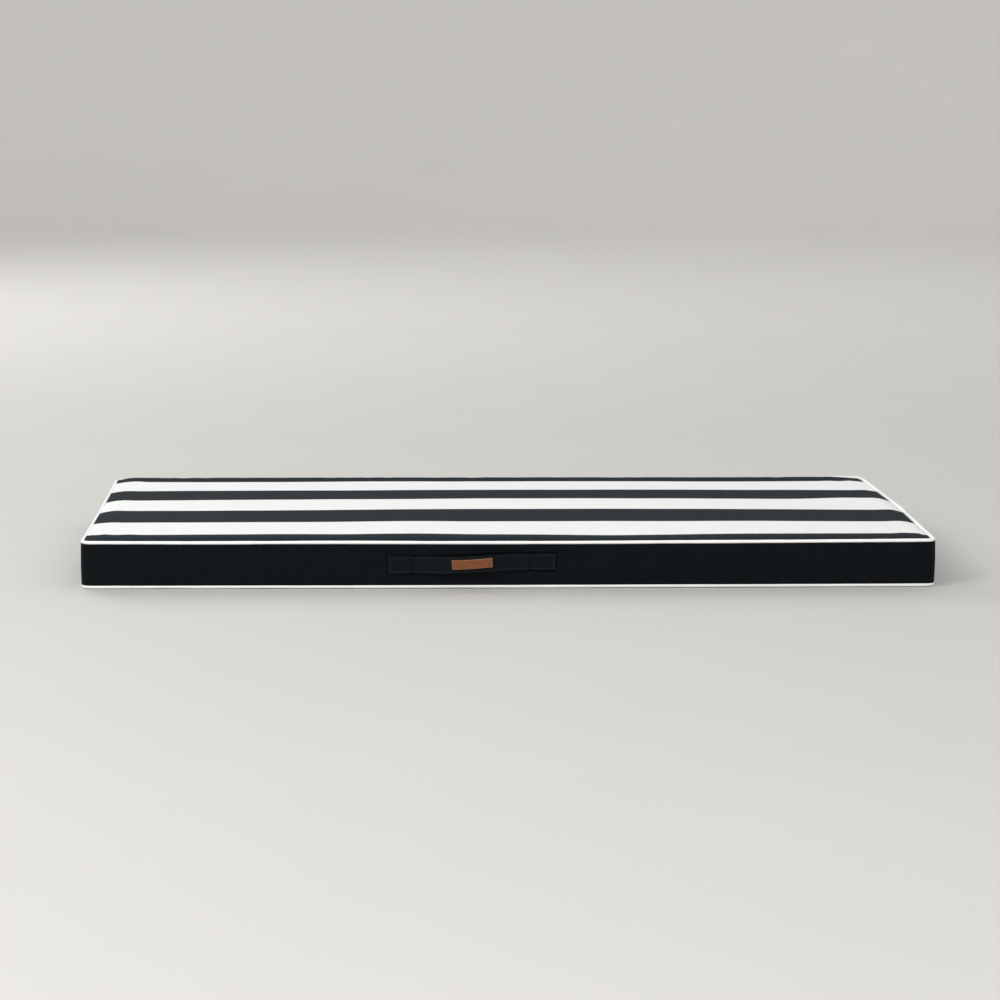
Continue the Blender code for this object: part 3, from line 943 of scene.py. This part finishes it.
def make_piping(name, replaced, seam, level, girth, rise, material):
    """A covered cord in a seam. Its bias-cut cover is a little uneven, with faint slanting wrinkles."""
    places = outline_places(FINE_PITCH)
    centres = [Vector((*plan_point(x, y, PIPING_RADIUS), seam(x, y) + rise)) for x, y in places]
    sections = []
    for i, (flat_x, flat_y) in enumerate(places):
        tangent = (centres[(i + 1) % len(places)] - centres[i - 1]).normalized()
        outward = tangent.cross(Vector((0, 0, 1))).normalized()
        up = outward.cross(tangent)
        fullness = wander(PIPING_FULLNESS, flat_x, flat_y, level)
        section = []
        for side in range(PIPING_SIDES):
            angle = 2 * math.pi * side / PIPING_SIDES
            around = PIPING_RADIUS * (math.pi - abs(math.pi - angle))
            twisted = Vector((flat_x + around, flat_y + around, level)) / PIPING_WRINKLE_WAVELENGTH
            radius = PIPING_RADIUS * (girth + fullness + PIPING_WRINKLE_SHARE * noise.noise(twisted))
            point = centres[i] + radius * (math.cos(angle) * outward + math.sin(angle) * up)
            section.append((point, (flat_x + flat_y + around, flat_x + flat_y - around, 0.0)))
        sections.append(section)
    return piece_from(loft(sections, ring=True), name, material, [replaced])


# ---- handle


def strap_height(x):
    share = (x - STRAP_RISE_START) / (STRAP_RISE_END - STRAP_RISE_START)
    return STRAP_LEFT_HEIGHT + (STRAP_RIGHT_HEIGHT - STRAP_LEFT_HEIGHT) * smoothstep(share)


def strap_bow(x, across):
    """How far the free stretch stands off the boxing. Its upper edge leans out."""
    span = RIGHT_TACK_START - LEFT_TACK_END
    share = min(max((x - LEFT_TACK_END) / span, 0.0), 1.0)
    return (STRAP_BOW + STRAP_LEAN * across) * math.sin(math.pi * share) ** 2


def dip(distance, reach):
    """1 at no distance, fading to 0 over the reach."""
    return math.exp(-(distance / reach) ** 2)


def strap_point(x, across, out):
    """A point on the strap: along it, across it, and out from its back face."""
    def on_back(at):
        return Vector((*plan_point(at, -DEPTH / 2, -STRAP_STAND_OFF - strap_bow(at, across)), 0.0))

    step = 0.0005
    tangent = (on_back(x + step) - on_back(x - step)).normalized()
    outward = tangent.cross(Vector((0, 0, 1)))
    point = on_back(x) + outward * out
    point.z = strap_height(x) + across
    return point


TROUGH_DEPTH = 0.00065
TOPSTITCH_TROUGH_REACH = 0.0009
END_TROUGH_REACH = 0.0007
END_TROUGH_SHARE = 0.8
# Soft gathers of the free stretch, and the fine unevenness of the whole strap.
GATHER_HEIGHT = 0.00030
GATHER_SIZE = (0.011, 0.030)
GATHER_FADE = 0.004
GATHER_LEVEL = 4.2
FINE_RELIEF = ((0.004, 0.00012),)
FINE_RELIEF_LEVEL = 0.0308
BAR_PRESS_REACH = 0.0012
CROSS_PRESS_REACH = 0.0010
TACK_RAIL = STRAP_WIDTH / 2 - TOPSTITCH_INSET
STRAP_ROW_ENDS = (STRAP_LEFT + TACK_END_INSET, STRAP_RIGHT - TACK_END_INSET)
CROSS_SPANS = ((STRAP_ROW_ENDS[0], LEFT_TACK_END), (RIGHT_TACK_START, STRAP_ROW_ENDS[1]))
CROSS_LINES = [
    ((near, side * TACK_RAIL), (far, -side * TACK_RAIL)) for near, far in CROSS_SPANS for side in (-1, 1)
]


def tack_press(x, across):
    """1 where a tack's bars and cross press the strap down, 0 away from them."""
    pressed = max(dip(x - bar, BAR_PRESS_REACH) for bar in (LEFT_TACK_END, RIGHT_TACK_START))
    for (start_x, start_up), (end_x, end_up) in CROSS_LINES:
        if start_x <= x <= end_x:
            line_up = start_up + (end_up - start_up) * (x - start_x) / (end_x - start_x)
            pressed = max(pressed, dip(across - line_up, CROSS_PRESS_REACH))
    return pressed


def strap_relief(x, across):
    """How far the strap's front face stands out: troughs along the stitching, soft gathers."""
    half = STRAP_WIDTH / 2
    topstitch = dip(half - abs(across) - TOPSTITCH_INSET, TOPSTITCH_TROUGH_REACH)
    trough = max(topstitch, tack_press(x, across))
    for end in STRAP_ROW_ENDS:
        trough = max(trough, END_TROUGH_SHARE * dip(x - end, END_TROUGH_REACH))
    relief = -TROUGH_DEPTH * trough
    free = smoothstep((x - LEFT_TACK_END) / GATHER_FADE) * smoothstep((RIGHT_TACK_START - x) / GATHER_FADE)
    gather_place = Vector((x / GATHER_SIZE[0], across / GATHER_SIZE[1], GATHER_LEVEL))
    relief += GATHER_HEIGHT * free * noise.noise(gather_place)
    return relief + wander(FINE_RELIEF, x, across, FINE_RELIEF_LEVEL)


def strap_half_width(x):
    """Half the strap's width: tapered, drawn in beside both tacks and a little wavy."""
    taper = STRAP_TAPER * 2 * (x - STRAP_MIDDLE) / STRAP_LENGTH
    drawn_in = sum(depth * dip(x - place, reach) for place, reach, depth in STRAP_WAISTS)
    waves = wander(STRAP_EDGE_WANDER, x, 0.0, STRAP_EDGE_LEVEL)
    return STRAP_WIDTH / 2 - (taper + drawn_in) + waves


STRAP_FRONT_STEPS = 30
STRAP_FOLD_STEPS = 5
STRAP_BACK_STEPS = 8
# The strap's rounded ends: their length, and (distance from the end, share of thickness) of their sections.
STRAP_END_ROUND = 0.001
STRAP_END_STEPS = ((0.0, 0.25), (0.0001, 0.55), (0.0003, 0.80), (0.0006, 0.95))


def folded_edge(flat_half, fold, swell):
    """The strap's upper folded edge, from front to back, as (across, out)."""
    turns = [math.pi * i / STRAP_FOLD_STEPS for i in range(1, STRAP_FOLD_STEPS)]
    return [(flat_half + fold * math.sin(turn), fold + fold * swell * math.cos(turn)) for turn in turns]


def strap_section(x, swell):
    """One closed section of the strap: front face, folded edge, back face, folded edge."""
    fold = STRAP_THICKNESS / 2
    flat_half = strap_half_width(x) - fold
    section = []
    for i in range(STRAP_FRONT_STEPS + 1):
        across = flat_half * (2 * i / STRAP_FRONT_STEPS - 1)
        section.append((across, fold + fold * swell + strap_relief(x, across) * swell))
    section += folded_edge(flat_half, fold, swell)
    for i in range(STRAP_BACK_STEPS + 1):
        across = flat_half * (1 - 2 * i / STRAP_BACK_STEPS)
        section.append((across, fold - fold * swell))
    section += [(-across, 2 * fold - out) for across, out in folded_edge(flat_half, fold, swell)]
    return [(strap_point(x, across, out), (x, across, 0.0)) for across, out in section]


def make_strap(material):
    """The handle: a folded, topstitched strap with rounded turned-under ends."""
    inner = STRAP_LENGTH - 2 * STRAP_END_ROUND
    count = round(inner / STRAP_PITCH)
    places = [(STRAP_LEFT + step, swell) for step, swell in STRAP_END_STEPS]
    places += [(STRAP_LEFT + STRAP_END_ROUND + inner * i / count, 1.0) for i in range(count + 1)]
    places += [(STRAP_RIGHT - step, swell) for step, swell in reversed(STRAP_END_STEPS)]
    strap = loft([strap_section(x, swell) for x, swell in places], ring=False)
    cloth = strap.verts.layers.float_vector["cloth"]
    # Where the tacks press the strap: the strap canvas paints shade there.
    pressed = strap.verts.layers.float.new("pressed")
    for vert in strap.verts:
        vert[pressed] = tack_press(vert[cloth].x, vert[cloth].y)
    return piece_from(strap, "carry_strap", material, ["handle_strap"])


def stitch_lines():
    """Each row of stitches as its two ends, (x, across) on the strap."""
    left, right = STRAP_ROW_ENDS
    rails = [((left, up), (right, up)) for up in (-TACK_RAIL, TACK_RAIL)]
    bars = [place for span in CROSS_SPANS for place in span]
    bars += [LEFT_TACK_END - SECOND_BAR_STEP, RIGHT_TACK_START + SECOND_BAR_STEP]
    return rails + CROSS_LINES + [((place, -TACK_RAIL), (place, TACK_RAIL)) for place in bars]


def make_stitches(material):
    """Every stitch is a short, straight stretched ellipsoid of thread, partly sunk into the cloth."""
    stitches = bmesh.new()
    cloth = stitches.verts.layers.float_vector.new("cloth")
    for start, end in stitch_lines():
        start, end = Vector(start), Vector(end)
        count = max(round((end - start).length / STITCH_PITCH), 1)
        for i in range(count):
            x, across = start.lerp(end, (i + 0.5) / count)
            way = (end - start).normalized() * STITCH_LENGTH / 2
            out = STRAP_THICKNESS + strap_relief(x, across)
            centre = strap_point(x, across, out)
            ahead = strap_point(x + way.x, across + way.y, out)
            along = (ahead - centre).normalized()
            outward = (centre - strap_point(x, across, 0.0)).normalized()
            side = outward.cross(along)
            turn = Matrix((along, side, outward)).transposed().to_4x4()
            size = Matrix.Diagonal((STITCH_LENGTH / 2, THREAD_RADIUS, THREAD_RADIUS, 1.0))
            placed = Matrix.Translation(centre + outward * THREAD_STAND_OFF) @ turn @ size
            made = bmesh.ops.create_icosphere(stitches, subdivisions=2, radius=1.0, matrix=placed)
            for vert in made["verts"]:
                vert[cloth] = vert.co
    return piece_from(stitches, "handle_stitching", material)


PATCH_STEPS_ALONG = 44
PATCH_STEPS_ACROSS = 12


def make_patch(material):
    """The bare leather patch on the strap's front face, a little out of line with it."""
    patch = bmesh.new()
    cloth = patch.verts.layers.float_vector.new("cloth")
    rim = patch.verts.layers.float.new("rim")
    bmesh.ops.create_grid(patch, x_segments=PATCH_STEPS_ALONG, y_segments=PATCH_STEPS_ACROSS, size=0.5)
    for vert in patch.verts:
        along, up = vert.co.x * PATCH_LENGTH, vert.co.y * PATCH_WIDTH
        from_rim = min(PATCH_LENGTH / 2 - abs(along), PATCH_WIDTH / 2 - abs(up))
        vert[cloth] = (along, up, 0.0)
        vert[rim] = 1 - smoothstep(from_rim / PATCH_RIM_WIDTH)
        x = PATCH_X + along * math.cos(PATCH_TILT) - up * math.sin(PATCH_TILT)
        height = PATCH_HEIGHT + along * math.sin(PATCH_TILT) + up * math.cos(PATCH_TILT)
        curl = PATCH_CURL * dip(from_rim, PATCH_CURL_REACH)
        curl += wander(PATCH_WANDER, along, up, PATCH_LEVEL)
        vert.co = strap_point(x, height - strap_height(x), STRAP_THICKNESS + GAP + curl)
    patch.normal_update()
    piece = piece_from(patch, "leather_tab", material, ["leather_patch"])
    add_thickness(piece, PATCH_THICKNESS, 1)
    bevel = piece.modifiers.new("Cut edges", "BEVEL")
    bevel.width = PATCH_EDGE_ROUND
    bevel.segments = 3
    bevel.limit_method = "ANGLE"
    bevel.angle_limit = math.radians(50)
    return piece


# ---- studio

SWEEP_SIDES = 96
SWEEP_FLAT_STEPS = 8
SWEEP_BEND_STEPS = 12
SWEEP_FLAT_RADIUS = 5.5
SWEEP_BEND_RADIUS = 2.0
SWEEP_WALL_HEIGHT = 4.5
SKY_STRENGTH = 0.85
CUSHION_MIDDLE = (0.0, 0.0, 0.03)
# Softboxes: name, place, target, size, watts.
SOFTBOXES = (
    ("key", (-1.9, -1.9, 1.75), CUSHION_MIDDLE, (1.6, 1.5), 36.0),
    ("front", (0.5, -3.4, 0.8), CUSHION_MIDDLE, (2.6, 1.0), 30.0),
    ("back", (-2.5, 2.9, 1.9), CUSHION_MIDDLE, (2.6, 1.4), 52.0),
    ("wall wash", (0.0, 2.5, 4.2), (0.0, 7.5, 2.4), (6.0, 1.0), 70.0),
)
CAMERA_PLACE = (-0.1530, -3.3852, 0.6045)
CAMERA_YAW = math.radians(2.5505)
CAMERA_PITCH = math.radians(9.1028)
CAMERA_ROLL = math.radians(0.3175)
CAMERA_LENS_MM = 105.4545


def make_sweep(material):
    """A round floor that bends up into a wall on every side."""
    profile = [(SWEEP_FLAT_RADIUS * i / SWEEP_FLAT_STEPS, 0.0) for i in range(1, SWEEP_FLAT_STEPS + 1)]
    for i in range(1, SWEEP_BEND_STEPS + 1):
        turn = math.pi / 2 * i / SWEEP_BEND_STEPS
        reach = SWEEP_FLAT_RADIUS + SWEEP_BEND_RADIUS * math.sin(turn)
        profile.append((reach, SWEEP_BEND_RADIUS * (1 - math.cos(turn))))
    profile.append((SWEEP_FLAT_RADIUS + SWEEP_BEND_RADIUS, SWEEP_WALL_HEIGHT))
    sweep = bmesh.new()
    hub = sweep.verts.new((0.0, 0.0, 0.0))
    turns = [2 * math.pi * i / SWEEP_SIDES for i in range(SWEEP_SIDES)]
    rings = [
        [sweep.verts.new((radius * math.cos(t), radius * math.sin(t), height)) for t in turns]
        for radius, height in profile
    ]
    for i in range(SWEEP_SIDES):
        j = (i + 1) % SWEEP_SIDES
        sweep.faces.new((hub, rings[0][i], rings[0][j]))
        for inner, outer in zip(rings, rings[1:]):
            sweep.faces.new((inner[i], outer[i], outer[j], inner[j]))
    floor = object_from(sweep, "studio_floor", material)


def make_lights():
    """A white sky and the softboxes, each a large area light aimed at its target."""
    world = bpy.data.worlds.new("studio")
    world.use_nodes = True
    sky = world.node_tree.nodes["Background"]
    sky.inputs["Color"].default_value = (1.0, 1.0, 1.0, 1.0)
    sky.inputs["Strength"].default_value = SKY_STRENGTH
    scene.world = world
    for name, place, target, size, watts in SOFTBOXES:
        light = bpy.data.lights.new(name, "AREA")
        light.shape = "RECTANGLE"
        light.size, light.size_y = size
        light.energy = watts
        lamp = add_object(name, light)
        lamp.location = place
        lamp.rotation_euler = (Vector(target) - Vector(place)).to_track_quat("-Z", "Y").to_euler()
        lamp.visible_camera = False


def make_camera():
    """The camera is turned by its yaw, then tipped down by its pitch, then rolled."""
    camera = bpy.data.cameras.new("camera")
    camera.lens = CAMERA_LENS_MM
    camera.sensor_width = 36.0
    camera.clip_end = 60.0
    yaw = Matrix.Rotation(-CAMERA_YAW, 4, "Z")
    pitch = Matrix.Rotation(math.pi / 2 - CAMERA_PITCH, 4, "X")
    roll = Matrix.Rotation(CAMERA_ROLL, 4, "Z")
    scene.camera = add_object("camera", camera)
    scene.camera.matrix_world = Matrix.Translation(CAMERA_PLACE) @ yaw @ pitch @ roll


def main():
    make_camera()
    make_lights()
    make_sweep(pale_floor())
    scene.view_settings.view_transform = "Standard"

    settling = settle_cover()
    make_body(black_canvas("boxing canvas", carries_handle=True), settling)
    make_top(striped_canvas(), settling)
    make_underside(black_canvas("underside canvas", carries_handle=False))
    cover = piping_cloth()
    make_piping("top_cord", "top_piping", top_seam, PIPING_LEVELS[0], *PIPING_SHAPES[0], cover)
    make_piping("bottom_cord", "bottom_piping", bottom_seam, PIPING_LEVELS[1], *PIPING_SHAPES[1], cover)
    strap = make_strap(strap_canvas())
    stitching = make_stitches(thread())
    tab = make_patch(tan_leather())


main()
